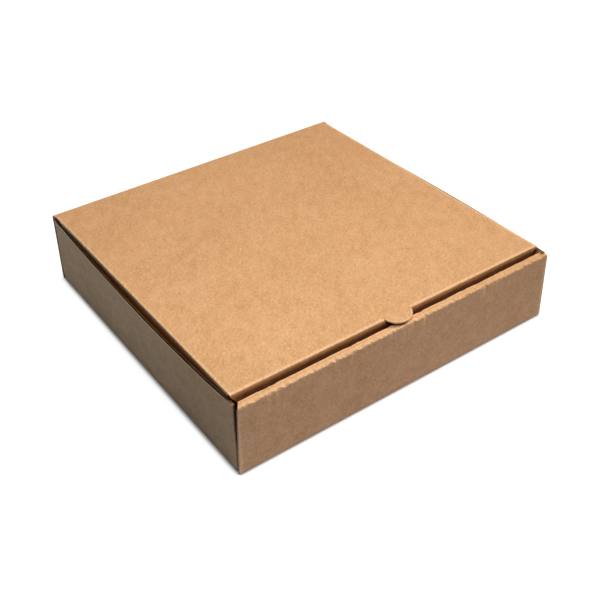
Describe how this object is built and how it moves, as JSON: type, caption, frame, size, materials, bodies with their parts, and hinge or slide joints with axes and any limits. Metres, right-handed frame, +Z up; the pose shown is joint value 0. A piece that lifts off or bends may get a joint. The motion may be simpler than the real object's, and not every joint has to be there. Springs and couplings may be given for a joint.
{
  "type": "pizza box",
  "caption": "Shallow square box of folded corrugated kraft board, with a rolled-over front wall and a hinged lid whose flaps tuck inside; carries a flat round meal.",
  "frame": {"origin": "middle of the underside of the base", "axes": "+Z up, through the lid; -Y towards the rolled front wall with the thumb tab; +X to the right, seen from the front"},
  "size_m": [0.259, 0.256, 0.0559],
  "materials": {
    "kraft_board": "matte, uncoated brown kraft liner"
  },
  "bodies": {
    "tray": {"tray": "kraft_board"},
    "lid": {"lid": "kraft_board"}
  },
  "joints": [
    {"name": "lid_hinge", "type": "hinge", "parent": "tray", "child": "lid", "pos_m": [0, 0.1272, 0.0551], "axis": [-1, 0, 0], "range_deg": [0, 180]}
  ]
}
